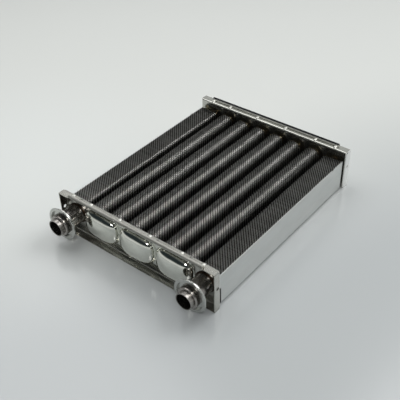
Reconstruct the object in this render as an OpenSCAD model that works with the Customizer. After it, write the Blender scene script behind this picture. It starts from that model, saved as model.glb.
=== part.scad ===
// Finned-tube heat exchanger of a gas boiler.
// Eight flattened tubes run through a stack of sheet fins between two flanged end plates.
// Pressed headers with domes join the tubes in pairs, so that the water goes to and fro,
// and two pipe stubs at the front let it in and out.
// X is across the tubes, Y along them from front to rear, Z up. The part rests on its end plates.

/* [End plates] */
// Width of an end plate across the tubes
plate_w = 235; // [232:1:260]
// Height of an end plate
plate_h = 56; // [54:0.5:70]
// Depth of an end plate's flanges, measured over the web
flange_d = 10.5; // [9:0.5:16]
// Sheet thickness of the end plates
plate_t = 1; // [0.8:0.1:1.2]
// Outer radius of the end plates' bends
bend_r = 2; // [1.5:0.1:2.5]
// Slit left between two flanges where they meet at a corner
corner_slit = 0.4; // [0.2:0.1:1]
// Distance over both end plates, from outer flange edge to outer flange edge
core_len = 287; // [220:1:340]
// Diameter of the screw holes in the side flanges
screw_hole_d = 4.2; // [3:0.1:5]
// Height of the screw holes above the middle of the plate's height
screw_hole_rise = 5; // [0:0.5:10]
// Distance of the screw holes from the outer flange edge
screw_hole_in = 5.5; // [4:0.5:6]
// Diameter of the pilot holes in each top flange
pilot_hole_d = 2.4; // [1.5:0.1:2.6]
// Places of the pilot holes along the plate, as shares of the tube pitch from its middle
pilot_places = [-3.05, 1.23, 2.88];

/* [Rolled edge] */
// Distance of the rolled edge's ends from the sides of the plate
curl_inset = 16; // [10:0.5:18]
// Outer radius of the rolled edge
curl_r = 2.3; // [1.8:0.1:2.4]
// Angle at which the roll ends above the flange, below level
curl_end = 25; // [5:5:40]
// Radius of the pressed ribs that brace the rolled edge
rib_r = 2.6; // [2.3:0.1:2.8]
// How far the ribs stand above the top flange
rib_rise = 1.4; // [0.8:0.1:1.6]
// How far the ribs reach back from the rolled edge
rib_reach = 2.6; // [1.5:0.1:3]
// Distance from rib to rib in the middle of the plate
rib_pitch = 46; // [40:1:50]
// Distance of the outermost ribs from the ends of the rolled edge
rib_end_in = 3; // [3:0.5:6]

/* [Tubes] */
// Distance of the outermost tubes' axes from the edges of the end plates
tube_edge = 19.5; // [19:0.5:21]
// Outer width of a flattened tube
tube_w = 12; // [8:0.5:14]
// Smallest distance from a tube to the outline of the dome over it
tube_in_dome = 6; // [5:0.5:7]
// Wall thickness of a tube
tube_t = 0.8; // [0.5:0.1:1.2]
// Height of the tube axes above the middle of the plate's height
tube_rise = 1; // [0:0.5:2]
// How far a tube stands out of the end plate into its header
tube_out = 1.5; // [0.5:0.1:3]
// Gap filled by braze all round a tube and at the ends of the fins
braze_gap = 0.05; // [0.02:0.01:0.1]

/* [Fins] */
// Distance from fin to fin
fin_pitch = 2.2; // [2:0.1:5]
// Sheet thickness of a fin
fin_t = 0.4; // [0.3:0.05:0.6]
// Smallest gap between an end plate and its nearest fin
fin_end_gap = 3.5; // [1:0.5:8]
// Height of the fins' lower edge above the base
fin_bottom_z = 5; // [3.5:0.5:10]
// Width of the notches between lobes
notch_gap = 4.5; // [3:0.5:6]
// Height of the top of an inner lobe above the tube axis
lobe_rise = 19; // [17:0.5:21]
// Depth of the notches between lobes, below the top of the inner lobes
notch_depth = 21; // [15:0.5:24]
// Height of the flat shoulders beside the outer tubes, above the tube axis
shoulder_rise = 16; // [14:0.5:17]
// Radius of a shoulder's corner at the notch
shoulder_in_r = 6; // [3:0.5:8]

/* [Side plates] */
// Sheet thickness of a side plate
side_t = 1; // [0.6:0.1:1.5]
// Distance of a side plate from the edge of the end plates
side_inset = 2.8; // [2.5:0.1:5]
// Height of a side plate's lower edge above the base
side_bottom_z = 3; // [1:0.5:6]
// Height of a side plate
side_h = 41; // [36:0.5:44]
// Gap between the rear end of a side plate and the rear end plate
side_rear_gap = 3.2; // [1:0.2:5]
// Gap between the lower front end of a side plate and the front end plate
side_front_gap = 1.4; // [0.6:0.2:3]
// Distance of the half-round locating pip from the rear end of a side plate
pip_from_rear = 27; // [15:1:60]
// Radius of the locating pip
pip_r = 4; // [2:0.5:5]

/* [Headers] */
// Sheet thickness of a header
header_t = 0.8; // [0.6:0.1:1]
// Height of a dome above the flat of its header
dome_rise = 8.6; // [8:0.1:10]
// Distance from a dome's outline to the upper and lower edges of the end plate
dome_in_plate = 11; // [10:0.5:12]
// Radius of the corners of a dome's outline
dome_corner_r = 12; // [10:0.5:15]
// Distance from dome to dome less the length of a dome
dome_gap = 4; // [3:0.5:6]
// Radius of the dome's hollow foot
dome_foot_r = 1.5; // [1:0.1:2]
// Radius of the dome's rounded shoulder
dome_shoulder_r = 6.6; // [4:0.1:7]
// Flat rim of a header round its domes
header_rim = 2; // [1:0.25:2]

/* [Pipe stubs] */
// Reach of a stub beyond the front flange edge
stub_reach = 28; // [24:0.5:45]
// Outer diameter of the pipe between end plate and collar
pipe_od = 24; // [24:0.1:24.6]
// Wall thickness of that pipe
pipe_t = 0.9; // [0.6:0.05:0.95]
// Outer diameter of the spigot at the tip
spigot_od = 21.4; // [18:0.1:23]
// Bore of the spigot
spigot_bore = 19.4; // [14:0.1:19.6]
// Length of the spigot
spigot_len = 5.4; // [4:0.1:8]
// Outer diameter of the collar
collar_od = 27; // [26:0.1:30]
// Length of the collar, from its shoulder to the ring that it holds
collar_len = 7.4; // [6:0.1:9]
// Radius of the collar's rounded shoulder
collar_shoulder_r = 1.6; // [0.5:0.1:2]
// Outer diameter of the dished ring
ring_od = 43.2; // [38:0.1:46]
// Diameter at which the ring's flat face drops into its dish
ring_dish_d = 36; // [33:0.1:37]
// Depth of the ring's dish
ring_dish = 2.6; // [1.5:0.1:3]
// Sheet thickness of the ring
ring_t = 1.2; // [0.8:0.1:1.5]
// Size of the weld bead at the root of a stub
weld_r = 1.6; // [1:0.1:1.6]

/* [Hidden] */
$fn = 72;
// Depth by which a dome's foot dips into the flat sheet, so that the two meet at an edge
foot_sink = 0.05;
// Overlap that keeps joined shapes from meeting in a bare plane, and cuts from ending in one
over = 1;

tube_count = 8;
tube_pitch = (plate_w - 2 * tube_edge) / (tube_count - 1);
tube_z = plate_h / 2 + tube_rise;
dome_w = plate_h - 2 * dome_in_plate;
tube_h = dome_w - 2 * tube_in_dome;
curl_len = plate_w - 2 * curl_inset;
rib_x = [rib_pitch / 2, 3 * rib_pitch / 2, curl_len / 2 - rib_end_in];

total_len = stub_reach + core_len;
// Front flange edge, with the whole part centred on the origin along Y
front_y = stub_reach - total_len / 2;
rear_y = front_y + core_len;
mid_y = (front_y + rear_y) / 2;
// Outer face of the front web, on which header and stubs sit
front_web_y = front_y + flange_d - plate_t;
web_gap = core_len - 2 * flange_d;

lobe_r = (tube_pitch - notch_gap) / 2;
fin_w = plate_w - 2 * (side_inset + side_t + braze_gap);
fin_count = floor((web_gap - 2 * fin_end_gap - fin_t) / fin_pitch) + 1;
fin_span = (fin_count - 1) * fin_pitch;
lobe_top_z = tube_z + lobe_rise;
lobe_mid_z = lobe_top_z - lobe_r;
notch_z = lobe_top_z - notch_depth;

dome_pitch = 2 * tube_pitch;
dome_len = dome_pitch - dome_gap;
front_domes = tube_count / 2 - 1;
rear_domes = tube_count / 2;

function tube_x(i) = (i - (tube_count + 1) / 2) * tube_pitch;

// Flat shapes

// Outline of a flattened tube: two half circles joined by flat sides, grown by a margin
module tube_outline(margin) {
    r = tube_w / 2 + margin;
    rise = (tube_h - tube_w) / 2;
    for (s = [-1, 1]) translate([0, s * rise]) circle(r = r);
    translate([-r, -rise]) square([2 * r, 2 * rise]);
}

// Block with four equal rounded corners, centred
module rounded_block(w, h, r) {
    for (x = [-1, 1], z = [-1, 1]) translate([x * (w / 2 - r), z * (h / 2 - r)]) circle(r = r);
    square([w, h - 2 * r], center = true);
    square([w - 2 * r, h], center = true);
}

// Channel of web and two flanges, open towards -X, with its far edge at x = depth
module channel_fill(inset, reach) {
    translate([-reach, inset]) square([flange_d - bend_r + reach, plate_h - 2 * inset]);
    translate([0, bend_r]) square([flange_d - inset, plate_h - 2 * bend_r]);
    for (z = [bend_r, plate_h - bend_r]) translate([flange_d - bend_r, z]) circle(r = bend_r - inset);
}

module channel_section() {
    difference() {
        channel_fill(0, 0);
        channel_fill(plate_t, over);
    }
}

// Quarter of a ring, for a bend; it lies in +X +Y of its centre
module bend_section(inner_r, sheet) {
    intersection() {
        difference() {
            circle(r = inner_r + sheet);
            circle(r = inner_r);
        }
        square(inner_r + sheet + over);
    }
}

// Extrudes a shape drawn in Y and Z along X, centred
module along_x(length) {
    translate([-length / 2, 0, 0]) rotate([90, 0, 90]) linear_extrude(length) children();
}

// Extrudes a shape drawn in X and Z along Y, from y = 0
module along_y(length) {
    translate([0, length, 0]) rotate([90, 0, 0]) linear_extrude(length) children();
}

// Turns a profile drawn as radius and distance along +Y round the Y axis
module round_y() {
    rotate([-90, 0, 0]) rotate_extrude($fn = 96) children();
}

// End plates

// Side flange at +X with the bend that joins it to the web
module side_flange() {
    flat_h = plate_h - 2 * (plate_t + corner_slit);
    translate([plate_w / 2 - plate_t, 0, plate_t + corner_slit])
        cube([plate_t, flange_d - bend_r, flat_h]);
    translate([plate_w / 2 - bend_r, flange_d - bend_r, bend_r])
        linear_extrude(plate_h - 2 * bend_r) bend_section(bend_r - plate_t, plate_t);
}

// Edge of the top flange rolled up and over until it nearly meets the flange again
module curl() {
    reach = 2 * curl_r;
    along_x(curl_len) translate([curl_r, plate_h - plate_t + curl_r]) difference() {
        circle(r = curl_r);
        circle(r = curl_r - plate_t);
        polygon([[0, 0], [0, -reach], [reach, -reach], [reach, -reach * tan(curl_end)]]);
    }
}

// Round bar with a ball end that gives a rib its outside, and with a smaller radius its hollow
module rib_bar(r, start) {
    translate([0, start, plate_h + rib_rise - rib_r]) {
        rotate([-90, 0, 0]) cylinder(r = r, h = 2 * curl_r + rib_reach - start);
        translate([0, 2 * curl_r + rib_reach - start, 0]) sphere(r = r);
    }
}

module rib_places() {
    for (x = rib_x, s = [-1, 1]) translate([s * x, 0, 0]) children();
}

// Part of the bar that stands above the flange's underside
module rib_skin() {
    intersection() {
        rib_bar(rib_r, curl_r);
        translate([-rib_r, 0, plate_h - plate_t]) cube([2 * rib_r, flange_d, plate_t + rib_rise]);
    }
}

// End plate with its outer flange edge at y = 0 and its web towards +Y
module end_plate() {
    difference() {
        union() {
            along_x(plate_w - 2 * bend_r) channel_section();
            for (z = [0, plate_h - plate_t]) translate([-plate_w / 2, 0, z])
                cube([plate_w, flange_d - bend_r, plate_t]);
            side_flange();
            mirror([1, 0, 0]) side_flange();
        }
        translate([-curl_len / 2, -over, plate_h - plate_t - over])
            cube([curl_len, curl_r + over, plate_t + 2 * over]);
        rib_places() rib_bar(rib_r - plate_t, 2 * curl_r);
        for (i = [1:tube_count]) translate([tube_x(i), flange_d - plate_t - over, tube_z])
            along_y(plate_t + 2 * over) tube_outline(braze_gap);
        translate([-plate_w / 2 - over, screw_hole_in, plate_h / 2 + screw_hole_rise]) rotate([0, 90, 0])
            cylinder(d = screw_hole_d, h = plate_w + 2 * over);
        for (k = pilot_places)
            translate([k * tube_pitch, (2 * curl_r + flange_d) / 2, plate_h - plate_t - over])
                cylinder(d = pilot_hole_d, h = plate_t + 2 * over);
    }
    curl();
    difference() {
        rib_places() rib_skin();
        rib_places() rib_bar(rib_r - plate_t, 2 * curl_r);
    }
}

module front_end_plate() {
    color("#8d8f8a") translate([0, front_y, 0]) end_plate();
}

module rear_end_plate() {
    color("#8d8f8a") translate([0, rear_y, 0]) mirror([0, 1, 0]) end_plate();
}

// Tubes

module tube(i) {
    length = core_len - 2 * (flange_d - plate_t) + 2 * tube_out;
    color("#9a8f80") translate([tube_x(i), front_web_y - tube_out, tube_z]) along_y(length)
        difference() {
            tube_outline(0);
            tube_outline(-tube_t);
        }
}

// Fins

// Flat shoulder over tube 1, from the side plate to the first notch
module shoulder() {
    x0 = -fin_w / 2;
    x1 = tube_x(1) + lobe_r;
    z0 = notch_z - over;
    z1 = tube_z + shoulder_rise;
    translate([x0, z0]) square([x1 - shoulder_in_r - x0, z1 - z0]);
    translate([x0, z0]) square([x1 - x0, z1 - shoulder_in_r - z0]);
    translate([x1 - shoulder_in_r, z1 - shoulder_in_r]) circle(r = shoulder_in_r);
}

module fin_outline() {
    difference() {
        union() {
            translate([-fin_w / 2, fin_bottom_z]) square([fin_w, notch_z - fin_bottom_z]);
            for (i = [2:tube_count - 1]) translate([tube_x(i), 0]) {
                translate([-lobe_r, notch_z - over]) square([2 * lobe_r, lobe_mid_z - notch_z + over]);
                translate([0, lobe_mid_z]) circle(r = lobe_r);
            }
            for (m = [0, 1]) mirror([m, 0]) shoulder();
        }
        for (i = [1:tube_count - 1]) translate([tube_x(i) + tube_pitch / 2, notch_z]) circle(d = notch_gap);
        for (i = [1:tube_count]) translate([tube_x(i), tube_z]) tube_outline(braze_gap);
    }
}

module fin_stack() {
    color("#4a4a4c") for (k = [0:fin_count - 1])
        translate([0, mid_y - fin_span / 2 + k * fin_pitch - fin_t / 2, 0]) along_y(fin_t) fin_outline();
}

// Side plates

module side_plate() {
    y0 = front_y + flange_d;
    length = web_gap - side_rear_gap;
    pip_y = y0 + web_gap - pip_from_rear;
    top_z = side_bottom_z + side_h;
    pip_sink = pip_r * 0.7;
    x1 = plate_w / 2 - side_inset;
    color("#a9acab") difference() {
        union() {
            translate([x1 - side_t, y0, side_bottom_z]) cube([side_t, length, side_h]);
            intersection() {
                translate([x1 - pip_sink, pip_y, top_z]) sphere(r = pip_r);
                translate([x1 - side_t, y0, side_bottom_z]) cube([side_inset, length, side_h]);
            }
        }
        intersection() {
            translate([x1 - pip_sink, pip_y, top_z]) sphere(r = pip_r - side_t);
            translate([0, y0, side_bottom_z]) cube([plate_w, length, side_h + over]);
        }
        translate([x1 - side_t - over, y0 - over, side_bottom_z - over])
            cube([side_t + 2 * over, side_front_gap + over, side_h / 2 + over]);
    }
}

// Headers

// Half section of a dome, from its middle out to its foot: flat crown, rounded shoulder, wall, and a hollow
// foot that runs out into the flat sheet. The skin is the distance inside the dome's outer face;
// a hollow also cuts through the sheet's back.
module dome_half_section(half, skin) {
    crown_z = header_t + dome_rise;
    shoulder_x = half - dome_foot_r - dome_shoulder_r;
    shoulder_z = crown_z - dome_shoulder_r;
    foot_z = header_t + dome_foot_r;
    base = skin > 0 ? -over : header_t / 2;
    intersection() {
        translate([0, base]) square([half, crown_z - base]);
        union() {
            translate([0, base]) square([shoulder_x, crown_z - skin - base]);
            translate([0, base]) square([half - dome_foot_r - skin, shoulder_z - base]);
            translate([shoulder_x, shoulder_z]) circle(r = dome_shoulder_r - skin);
            difference() {
                translate([0, base]) square([half, foot_z - base]);
                translate([half, foot_z - foot_sink]) circle(r = dome_foot_r + skin);
            }
        }
    }
}

module dome_section(half, skin) {
    for (m = [0, 1]) mirror([m, 0]) dome_half_section(half, skin);
}

// Dome over the X-Y plane with its crown towards +Z: two bars crosswise and four turned corners
module dome_body(skin) {
    long = dome_len - 2 * dome_corner_r;
    short = dome_w - 2 * dome_corner_r;
    rotate([90, 0, 90]) linear_extrude(long, center = true) dome_section(dome_w / 2, skin);
    rotate([90, 0, 0]) linear_extrude(short, center = true) dome_section(dome_len / 2, skin);
    for (x = [0, 1], y = [0, 1]) mirror([x, 0, 0]) mirror([0, y, 0]) translate([long / 2, short / 2, 0])
        rotate_extrude(angle = 90, $fn = 96) dome_half_section(dome_corner_r, skin);
}

// Header with its back in the plane y = 0, domes towards -Y
module header(domes) {
    rotate([90, 0, 0]) difference() {
        union() {
            linear_extrude(header_t) rounded_block(domes * dome_pitch - dome_gap + 2 * header_rim,
                dome_w + 2 * header_rim, dome_corner_r + header_rim);
            dome_places(domes) dome_body(0);
        }
        dome_places(domes) dome_body(header_t);
    }
}

module dome_places(domes) {
    for (k = [0:domes - 1]) translate([(k - (domes - 1) / 2) * dome_pitch, 0, 0]) children();
}

module front_header() {
    color("#c9cbc6") translate([0, front_web_y, tube_z]) header(front_domes);
}

module rear_header() {
    color("#c9cbc6") translate([0, 2 * mid_y - front_web_y, tube_z]) mirror([0, 1, 0]) header(rear_domes);
}

// Pipe stubs. Their profiles are drawn as radius and distance from the tip.

module pipe_profile() {
    length = stub_reach + flange_d - plate_t;
    collar_end = spigot_len + collar_len;
    difference() {
        union() {
            square([spigot_od / 2, spigot_len + over]);
            translate([0, spigot_len + collar_shoulder_r])
                square([collar_od / 2, collar_len - collar_shoulder_r]);
            translate([0, spigot_len]) square([collar_od / 2 - collar_shoulder_r, collar_len]);
            translate([collar_od / 2 - collar_shoulder_r, spigot_len + collar_shoulder_r])
                circle(r = collar_shoulder_r);
            translate([0, collar_end - over]) square([pipe_od / 2, length - collar_end + over]);
        }
        translate([0, -over]) square([spigot_bore / 2, length + 2 * over]);
        translate([0, spigot_len + collar_shoulder_r]) square([pipe_od / 2 - pipe_t, length]);
    }
}

module pipe(i) {
    color("#a8a49d") translate([tube_x(i), front_y - stub_reach, tube_z]) round_y() pipe_profile();
}

// Dished ring held behind the collar; its flat outer rim stands towards the tip
module ring(i) {
    floor_y = spigot_len + collar_len;
    face_y = floor_y - ring_dish;
    color("#b9bbb8") translate([tube_x(i), front_y - stub_reach, tube_z]) round_y() {
        translate([pipe_od / 2 + braze_gap, floor_y])
            square([ring_dish_d / 2 + ring_t - pipe_od / 2 - braze_gap, ring_t]);
        translate([ring_dish_d / 2, face_y]) square([ring_t, ring_dish + ring_t]);
        translate([ring_dish_d / 2, face_y]) square([(ring_od - ring_dish_d) / 2 - ring_t / 2, ring_t]);
        translate([(ring_od - ring_t) / 2, face_y + ring_t / 2]) circle(d = ring_t);
    }
}

// Weld bead in the corner between a stub and the end plate
module weld(i) {
    color("#6b4a35") translate([tube_x(i), front_web_y, tube_z]) round_y() intersection() {
        translate([pipe_od / 2, 0]) circle(r = weld_r);
        translate([pipe_od / 2, -weld_r]) square(weld_r);
    }
}

front_end_plate();
rear_end_plate();
front_header();
rear_header();
tube(1);  // tube_1
tube(2);  // tube_2
tube(3);  // tube_3
tube(4);  // tube_4
tube(5);  // tube_5
tube(6);  // tube_6
tube(7);  // tube_7
tube(8);  // tube_8
fin_stack();
mirror([1, 0, 0]) side_plate();  // side_plate_left
side_plate();  // side_plate_right
pipe(1);  // inlet_pipe
pipe(tube_count);  // outlet_pipe
ring(1);  // inlet_ring
ring(tube_count);  // outlet_ring
weld(1);  // inlet_weld
weld(tube_count);  // outlet_weld
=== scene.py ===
import math

import bmesh
import bpy
import numpy as np
from mathutils import Euler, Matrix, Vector


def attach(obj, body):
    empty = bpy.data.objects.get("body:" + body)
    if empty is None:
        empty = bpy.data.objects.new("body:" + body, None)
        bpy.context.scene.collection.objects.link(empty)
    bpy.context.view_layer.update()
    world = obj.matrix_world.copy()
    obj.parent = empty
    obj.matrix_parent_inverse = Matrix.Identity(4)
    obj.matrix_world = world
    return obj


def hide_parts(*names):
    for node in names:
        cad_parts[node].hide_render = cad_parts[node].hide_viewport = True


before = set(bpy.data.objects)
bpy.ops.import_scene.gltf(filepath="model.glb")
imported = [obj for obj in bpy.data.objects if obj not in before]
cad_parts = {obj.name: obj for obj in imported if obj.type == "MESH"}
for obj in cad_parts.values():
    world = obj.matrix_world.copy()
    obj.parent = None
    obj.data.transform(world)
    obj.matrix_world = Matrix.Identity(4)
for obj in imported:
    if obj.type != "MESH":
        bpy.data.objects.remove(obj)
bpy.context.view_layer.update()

MM = 0.001


# Colours and node trees

def linear(hex_colour):
    """The linear RGBA of an sRGB hex colour: each channel c becomes c/12.92 when dark, else ((c+0.055)/1.055)^2.4."""
    text = hex_colour.lstrip("#")
    channels = [int(text[i:i + 2], 16) / 255 for i in (0, 2, 4)]
    return tuple(c / 12.92 if c <= 0.04045 else ((c + 0.055) / 1.055) ** 2.4 for c in channels) + (1.0,)


def add(tree, kind, inputs=None, **settings):
    """Adds one node. settings are its properties; inputs maps a socket's name or number to a value or to an output."""
    made = tree.nodes.new(kind)
    for name, value in settings.items():
        setattr(made, name, value)
    for socket, value in (inputs or {}).items():
        if isinstance(value, bpy.types.NodeSocket):
            tree.links.new(value, made.inputs[socket])
        else:
            made.inputs[socket].default_value = value
    return made


def ramp(tree, factor, stops):
    """A colour ramp through (place, hex colour) stops."""
    made = add(tree, "ShaderNodeValToRGB", {"Fac": factor})
    band = made.color_ramp
    while len(band.elements) < len(stops):
        band.elements.new(0.5)
    for element, (place, colour) in zip(band.elements, stops):
        element.position = place
        element.color = linear(colour)
    return made.outputs["Color"]


ROUGH_SPREAD = 0.12


def metal(name, stops, roughness, grain_mm, grain=(1, 1, 1), bump=0.05):
    """Bare sheet metal. A noise of grain_mm, stretched by grain, drives colour through the stops, and a finer one drives
    roughness and bump."""
    made = bpy.data.materials.new(name)
    made.use_nodes = True
    tree = made.node_tree
    shader = tree.nodes["Principled BSDF"]
    shader.inputs["Metallic"].default_value = 1.0
    place = add(tree, "ShaderNodeTexCoord").outputs["Object"]
    stretched = add(tree, "ShaderNodeMapping", {"Vector": place, "Scale": grain}).outputs["Vector"]
    cloud = add(tree, "ShaderNodeTexNoise", {"Vector": stretched, "Scale": 1 / (grain_mm * MM), "Detail": 4.0,
                                             "Roughness": 0.6}).outputs["Fac"]
    fine = add(tree, "ShaderNodeTexNoise", {"Vector": stretched, "Scale": 6 / (grain_mm * MM), "Detail": 2.0,
                                            "Roughness": 0.5}).outputs["Fac"]
    colour = ramp(tree, cloud, stops)
    tree.links.new(colour, shader.inputs["Base Color"])
    rough = add(tree, "ShaderNodeMapRange", {"Value": fine, "From Min": 0.3, "From Max": 0.7,
                                             "To Min": roughness * (1 - ROUGH_SPREAD),
                                             "To Max": roughness * (1 + ROUGH_SPREAD)}).outputs["Result"]
    tree.links.new(rough, shader.inputs["Roughness"])
    lift = add(tree, "ShaderNodeBump", {"Height": cloud, "Strength": bump, "Distance": 0.0006}).outputs["Normal"]
    tree.links.new(lift, shader.inputs["Normal"])
    return made


def zone(made, spans, colour, roughness):
    """Another finish for the part of a metal inside spans: axis letter to (where it starts, where it is full), in mm."""
    tree = made.node_tree
    shader = tree.nodes["Principled BSDF"]
    place = add(tree, "ShaderNodeSeparateXYZ", {"Vector": add(tree, "ShaderNodeTexCoord").outputs["Object"]})
    share = 1.0
    for axis, (start, full) in spans.items():
        here = add(tree, "ShaderNodeMapRange", {"Value": place.outputs[axis], "From Min": start * MM,
                                                "From Max": full * MM}).outputs["Result"]
        share = add(tree, "ShaderNodeMath", {0: here, 1: share}, operation="MULTIPLY").outputs[0]
    base = shader.inputs["Base Color"].links[0].from_socket
    other = add(tree, "ShaderNodeMix", {"Factor": share, 6: base, 7: linear(colour)}, data_type="RGBA").outputs[2]
    tree.links.new(other, shader.inputs["Base Color"])
    was = shader.inputs["Roughness"].links[0].from_socket
    rough = add(tree, "ShaderNodeMix", {"Factor": share, 2: was, 3: roughness}, data_type="FLOAT").outputs[0]
    tree.links.new(rough, shader.inputs["Roughness"])


# Cold-rolled stainless sheet, bent and left as rolled: satin grey with soft smears along the rolling direction
PLATE = metal("rolled_stainless_plate", [(0.35, "#aaa9a3"), (0.65, "#c4c3bd")], 0.24, 22, (0.35, 1, 1), 0.10)
# The roller leaves its rolled edge matt
zone(PLATE, {"Z": (56.6, 57.2)}, "#a3a29c", 0.50)
# Painted highlight: the ribs' backs are drawn pale for the glints on them
zone(PLATE, {"Z": (56.2, 56.4), "Y": (-126.2, -125.8)}, "#d2d2cc", 0.42)
# The rear plate's finish, drawn paler
REAR_PLATE = metal("rolled_stainless_rear_plate", [(0.35, "#b4b4ae"), (0.65, "#cacac4")], 0.24, 22, (0.35, 1, 1), 0.10)
# Painted highlight: its rolled edge is drawn pale and matt
zone(REAR_PLATE, {"Z": (56.6, 57.2)}, "#dcdcd6", 0.50)
# Painted shade: the top of its rolled edge is drawn near black
zone(REAR_PLATE, {"Z": (58.3, 58.7)}, "#1d1e1f", 0.40)
# Painted highlight: the outer face of its right side flange is drawn near white
zone(REAR_PLATE, {"X": (116.4, 116.8)}, "#f2f2f0", 0.28)
# Deep-drawn stainless, polished by the press tool: mirror-like with faint drawing lines
DRAWN = metal("deep_drawn_stainless", [(0.3, "#d2d3cb"), (0.7, "#e6e7df")], 0.10, 14, (1, 1, 1), 0.06)
# Pitch of the fin sheets and place of the first, with the width of the bands along X of the painted shade checker
FIN_PITCH, FIN_FIRST, SHADE_BAND_WIDTH = 2.2, -114.7, 1.8


def odd_cell(tree, place, width, start):
    """0 or 1 in turn in cells of that width from start, both in mm: the whole part of (place - start) / width + 1/2,
    left over from division by 2."""
    count = add(tree, "ShaderNodeMath", {0: place, 1: 1 / (width * MM), 2: 0.5 - start / width}, operation="MULTIPLY_ADD")
    number = add(tree, "ShaderNodeMath", {0: count.outputs[0]}, operation="FLOOR").outputs[0]
    return number, add(tree, "ShaderNodeMath", {0: number, 1: 2.0}, operation="FLOORED_MODULO").outputs[0]


def fin_metal():
    """Thin stainless strip out of the brazing oven: each sheet has its own grey. Sheets 2.2 mm apart are too fine to
    show, so the dark gaps between them are painted shade: every second sheet is drawn paler, swapping in bands along X,
    which makes a fine checker."""
    made = metal("oven_brazed_fin_strip", [(0.3, "#cccbc7"), (0.7, "#e8e7e3")], 0.31, 30, (1, 1, 1), 0.0)
    tree = made.node_tree
    shader = tree.nodes["Principled BSDF"]
    base = shader.inputs["Base Color"].links[0].from_socket
    place = add(tree, "ShaderNodeSeparateXYZ", {"Vector": add(tree, "ShaderNodeTexCoord").outputs["Object"]})
    number, odd_sheet = odd_cell(tree, place.outputs["Y"], FIN_PITCH, FIN_FIRST)
    chance = add(tree, "ShaderNodeTexWhiteNoise", {"W": number}, noise_dimensions="1D").outputs["Value"]
    odd_shade_band = odd_cell(tree, place.outputs["X"], SHADE_BAND_WIDTH, 0.0)[1]
    unlike = add(tree, "ShaderNodeMath", {0: odd_sheet, 1: odd_shade_band}, operation="SUBTRACT").outputs[0]
    checker = add(tree, "ShaderNodeMath", {0: unlike}, operation="ABSOLUTE").outputs[0]
    share = add(tree, "ShaderNodeMath", {0: chance, 1: 0.16, 2: 0.06}, operation="MULTIPLY_ADD").outputs[0]
    share = add(tree, "ShaderNodeMath", {0: checker, 1: 0.70, 2: share}, operation="MULTIPLY_ADD").outputs[0]
    # The checker's dark cells are painted shade in this grey
    grey = add(tree, "ShaderNodeMix", {"Factor": share, 6: linear("#343432"), 7: base}, data_type="RGBA").outputs[2]
    tree.links.new(grey, shader.inputs["Base Color"])
    return made


FIN = fin_metal()
# Painted highlight: the last fin sheets at the rear are drawn in a plain straw grey, for the glints at the lobes' rear
# ends
zone(FIN, {"Y": (140.8, 142.4)}, "#aaa08b", 0.22)
# Tube drawn from stainless strip, tinted straw brown by the brazing oven
TUBE = metal("brazed_tube", [(0.3, "#6d5f50"), (0.7, "#8c7c68")], 0.3, 12, (1, 0.4, 1), 0.05)
# Cold-rolled side sheet, paler and smoother than the end plates
SIDE = metal("rolled_stainless_side_sheet", [(0.3, "#c9cbc9"), (0.7, "#d9dbd9")], 0.36, 40, (1, 0.3, 1), 0.05)
# Painted shade: the lower front end of the side sheet is drawn near black for the gap between it and the front plate's
# flange
zone(SIDE, {"Y": (-114.0, -114.7), "Z": (26.0, 24.5)}, "#1e1e1d", 0.5)
# Turned stainless pipe: bright, with turning marks round it
PIPE = metal("turned_stainless_pipe", [(0.3, "#8b8783"), (0.7, "#aca8a4")], 0.25, 9, (1, 6, 1), 0.08)
# Stamped stainless ring, satin on its face
RING = metal("stamped_stainless_ring", [(0.3, "#b3b4b0"), (0.7, "#c8c9c5")], 0.24, 10, (1, 1, 1), 0.05)
# Weld bead with its brown oxide
WELD = metal("oxidised_weld_bead", [(0.3, "#29231e"), (0.7, "#4b3d31")], 0.4, 3, (1, 1, 1), 0.3)

for node_name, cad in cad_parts.items():
    finish = (PLATE if node_name == "front_end_plate" else REAR_PLATE if node_name == "rear_end_plate" else DRAWN
              if node_name.endswith("header") else TUBE if node_name.startswith("tube") else FIN if node_name == "fin_stack"
              else SIDE if node_name.startswith("side") else PIPE if node_name.endswith("pipe")
              else RING if node_name.endswith("ring") else WELD)
    cad.data.materials.clear()
    cad.data.materials.append(finish)


# Headers: pressed domes in one sheet, with the crown that the press leaves

DOME_PITCH = 56.0
DOME_HALF = (26.8, 20.0)
DOME_POWER, CROWN_POWER = 3.0, 2.3
FRONT_RISE, REAR_RISE, FOOT_R, SHEET_T = 11.4, 8.6, 0.9, 0.8
CELL_HALF, CELL_CORNER_R = (28.0, 21.5), 16.0
FRONT_WEB_Y, REAR_WEB_Y, DOME_MID_Z = -120.0, 148.0, 29.2


def oval(turn, half_x, half_z):
    """Points of the oval |x/half_x|^n + |z/half_z|^n = 1, n being DOME_POWER, in the directions turn."""
    c, s = np.cos(turn), np.sin(turn)
    k = (np.abs(c / half_x) ** DOME_POWER + np.abs(s / half_z) ** DOME_POWER) ** (-1 / DOME_POWER)
    return k * c, k * s


def cell_edge(turn, round_left, round_right):
    """Where the ray in direction turn leaves the sheet's piece round one dome: a rectangle whose outer corners are round
    on the sides named. The distance is halved down between 0 and the rectangle's diagonal."""
    c, s = np.cos(turn), np.sin(turn)
    low, high = np.zeros_like(c), np.full_like(c, 2 * CELL_HALF[0])
    for _ in range(40):
        k = (low + high) / 2
        x, z = k * c, np.abs(k * s)
        rounded = np.where(x > 0, round_right, round_left)
        r = np.where(rounded, CELL_CORNER_R, 1e-6)
        ox, oz = np.maximum(np.abs(x) - CELL_HALF[0] + r, 0), np.maximum(z - CELL_HALF[1] + r, 0)
        inside = np.hypot(ox, oz) <= r
        low, high = np.where(inside, k, low), np.where(inside, high, k)
    return low * c, low * s


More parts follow.
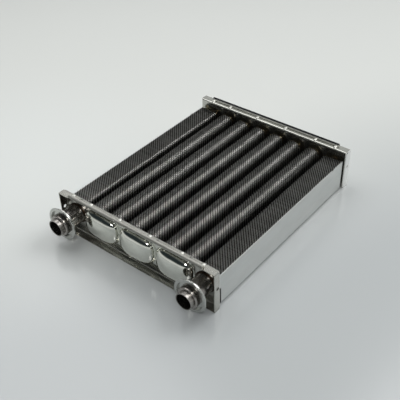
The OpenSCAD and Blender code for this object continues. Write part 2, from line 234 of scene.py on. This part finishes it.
def dome_rings(rise, first, last):
    """Rings of points from a dome's middle out to the edge of its piece of sheet, each (x, z, height) over the sheet.
    The dome is foot + (rise - foot) * sqrt(1 - s^p) high at the share s of the way to its edge, p being CROWN_POWER; then
    a quarter circle of radius foot runs out into the flat sheet."""
    turn = np.linspace(0, 2 * np.pi, 160, endpoint=False)
    rings = []
    for s in np.sin(np.linspace(0, np.pi / 2, 44))[1:]:
        x, z = oval(turn, DOME_HALF[0] - FOOT_R, DOME_HALF[1] - FOOT_R)
        height = FOOT_R + (rise - FOOT_R) * np.sqrt(1 - s ** CROWN_POWER)
        rings.append((x * s, z * s, np.full_like(x, height)))
    for bend in np.linspace(0, np.pi / 2, 7)[1:]:
        out = FOOT_R * (1 - np.cos(bend))
        x, z = oval(turn, DOME_HALF[0] - FOOT_R + out, DOME_HALF[1] - FOOT_R + out)
        rings.append((x, z, np.full_like(x, FOOT_R * (1 - np.sin(bend)))))
    x, z = cell_edge(turn, first, last)
    rings.append((x, z, np.zeros_like(x)))
    return np.array(rings)


def make_header(node, domes, rise, web_y, outward):
    """The rings of so many domes side by side as one welded surface, facing -Y or +Y as outward says, thickened inwards
    to the sheet's thickness."""
    points, faces, start = [], [], 0
    for index in range(domes):
        dome_x = (index - (domes - 1) / 2) * DOME_PITCH
        rings = dome_rings(rise, index == 0, index == domes - 1)
        count, around = rings.shape[0], rings.shape[2]
        x, z, height = (rings[:, k, :].ravel() for k in range(3))
        points += [np.array([[dome_x, web_y + outward * (SHEET_T + rise), DOME_MID_Z]]) * MM,
                   np.column_stack([x + dome_x, web_y + outward * (SHEET_T + height), z + DOME_MID_Z]) * MM]
        here = np.arange(around)
        after = (here + 1) % around
        faces += [np.column_stack([np.full(around, start), start + 1 + here, start + 1 + after])]
        for k in range(count - 1):
            inner, outer = start + 1 + k * around, start + 1 + (k + 1) * around
            faces += [np.column_stack([inner + here, outer + here, outer + after]),
                      np.column_stack([inner + here, outer + after, inner + after])]
        start += 1 + count * around
    mesh = bpy.data.meshes.new(node + "_sheet")
    mesh.from_pydata(np.vstack(points).tolist(), [], np.vstack(faces).tolist())
    work = bmesh.new()
    work.from_mesh(mesh)
    bmesh.ops.remove_doubles(work, verts=work.verts, dist=1e-6)
    bmesh.ops.recalc_face_normals(work, faces=work.faces)
    if sum(f.normal.y for f in work.faces) * outward < 0:
        bmesh.ops.reverse_faces(work, faces=work.faces)
    work.to_mesh(mesh)
    work.free()
    mesh.polygons.foreach_set("use_smooth", np.ones(len(mesh.polygons), dtype=bool))
    made = bpy.data.objects.new(node + "_pressed", mesh)
    bpy.context.scene.collection.objects.link(made)
    wall = made.modifiers.new("sheet", "SOLIDIFY")
    wall.thickness = SHEET_T * MM
    wall.offset = -1.0
    mesh.materials.append(DRAWN)
    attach(made, "root")
    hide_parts(node)


make_header("front_header", 3, FRONT_RISE, FRONT_WEB_Y, -1)
make_header("rear_header", 4, REAR_RISE, REAR_WEB_Y, 1)


# Stage: floor, light and camera

# Floor tones: its own far off, painted shade near the camera, and a painted pool of light left of the part
FLOOR_FAR, FLOOR_NEAR_PAINTED_SHADE, FLOOR_PAINTED_LIGHT_POOL = "#dddfdc", "#b9bdbe", "#e1e4e2"


def make_floor():
    """A flat square sheet, 16 m wide, at the height of the part's base, with painted shade that makes it a little
    darker and cooler towards the camera and a painted pool of light left of the part.
    """
    size = 8.0
    mesh = bpy.data.meshes.new("floor")
    mesh.from_pydata([(-size, -size, 0), (size, -size, 0), (size, size, 0), (-size, size, 0)], [], [(0, 1, 2, 3)])
    made = bpy.data.objects.new("floor", mesh)
    bpy.context.scene.collection.objects.link(made)
    paint = bpy.data.materials.new("pale_acrylic_floor")
    paint.use_nodes = True
    tree = paint.node_tree
    shader = tree.nodes["Principled BSDF"]
    place = add(tree, "ShaderNodeTexCoord").outputs["Object"]
    nearness = add(tree, "ShaderNodeVectorMath", {0: place, 1: (0.85, -0.53, 0.0)}, operation="DOT_PRODUCT").outputs["Value"]
    share = add(tree, "ShaderNodeMapRange", {"Value": nearness, "From Min": -0.25, "From Max": 0.18},
                interpolation_type="SMOOTHSTEP").outputs["Result"]
    shade = add(tree, "ShaderNodeMix", {"Factor": share, 6: linear(FLOOR_FAR), 7: linear(FLOOR_NEAR_PAINTED_SHADE)},
                data_type="RGBA").outputs[2]
    # Painted pool of light round a spot left of the part
    away = add(tree, "ShaderNodeVectorMath", {0: place, 1: (-0.28, -0.09, 0.0)}, operation="DISTANCE").outputs["Value"]
    painted_pool_share = add(tree, "ShaderNodeMapRange", {"Value": away, "From Min": 0.34, "From Max": 0.0},
              interpolation_type="SMOOTHSTEP").outputs["Result"]
    shade = add(tree, "ShaderNodeMix", {"Factor": painted_pool_share, 6: shade, 7: linear(FLOOR_PAINTED_LIGHT_POOL)}, data_type="RGBA").outputs[2]
    tree.links.new(shade, shader.inputs["Base Color"])
    shader.inputs["Roughness"].default_value = 0.20
    shader.inputs["Specular IOR Level"].default_value = 0.5
    mesh.materials.append(paint)


def make_lamp(name, place, size, watts, colour="#ffffff", target=(0, 0, 0.03)):
    """A square soft box of that size, facing the part."""
    data = bpy.data.lights.new(name, "AREA")
    data.shape = "SQUARE"
    data.size = size
    data.energy = watts
    data.color = linear(colour)[:3]
    made = bpy.data.objects.new(name, data)
    made.location = place
    made.rotation_euler = (Vector(target) - Vector(place)).to_track_quat("-Z", "Y").to_euler()
    bpy.context.scene.collection.objects.link(made)


def make_world():
    """A room whose far side is pale; the near side, behind the camera, is pale low down and dark above. The camera itself
    sees it as plain pale."""
    world = bpy.data.worlds.new("studio")
    bpy.context.scene.world = world
    world.use_nodes = True
    tree = world.node_tree
    tree.nodes.clear()
    way = add(tree, "ShaderNodeTexCoord").outputs["Generated"]
    split = add(tree, "ShaderNodeSeparateXYZ", {"Vector": way})
    near = add(tree, "ShaderNodeMapRange", {"Value": split.outputs["Y"], "From Min": 0.25, "From Max": -0.15,
                                            "To Min": 0.0, "To Max": 1.0}, interpolation_type="SMOOTHSTEP").outputs["Result"]
    far_side = ramp(tree, split.outputs["Z"], [(0.0, "#dcdedd"), (0.4, "#cdcfce"), (0.75, "#bcbebd"), (1.0, "#a0a2a1")])
    near_side = ramp(tree, split.outputs["Z"], [(0.0, "#d9dbda"), (0.2, "#c4c6c5"), (0.27, "#2c3335"), (0.7, "#262c2e"),
                                                (0.95, "#7c7e7d")])
    room = add(tree, "ShaderNodeMix", {"Factor": near, 6: far_side, 7: near_side}, data_type="RGBA").outputs[2]
    light = add(tree, "ShaderNodeBackground", {"Color": room, "Strength": 1.0}).outputs["Background"]
    plain = add(tree, "ShaderNodeBackground", {"Color": linear("#d5d7d6"), "Strength": 1.0}).outputs["Background"]
    seen = add(tree, "ShaderNodeLightPath").outputs["Is Camera Ray"]
    both = add(tree, "ShaderNodeMixShader", {0: seen, 1: light, 2: plain}).outputs["Shader"]
    add(tree, "ShaderNodeOutputWorld", {"Surface": both})


def make_camera():
    """The camera at the photo's place: 400 pixels span 31.9 degrees."""
    data = bpy.data.cameras.new("camera")
    data.sensor_width = 36.0
    data.lens = 36.0 * 699.254 / 400
    data.clip_start, data.clip_end = 0.05, 20.0
    made = bpy.data.objects.new("camera", data)
    made.location = (0.436628, -0.535512, 0.563780)
    made.rotation_euler = Euler([math.radians(a) for a in (51.71413, 1.38188, 38.43055)], "XYZ")
    bpy.context.scene.collection.objects.link(made)
    bpy.context.scene.camera = made


make_floor()
make_world()
make_lamp("key_soft_box", (0.80, -0.95, 1.30), 0.36, 8)
make_lamp("back_soft_box", (0.45, 0.95, 1.30), 0.9, 10)
make_lamp("left_soft_box", (-0.60, 0.02, 1.15), 0.9, 6)
make_camera()
bpy.context.scene.view_settings.view_transform = "Standard"
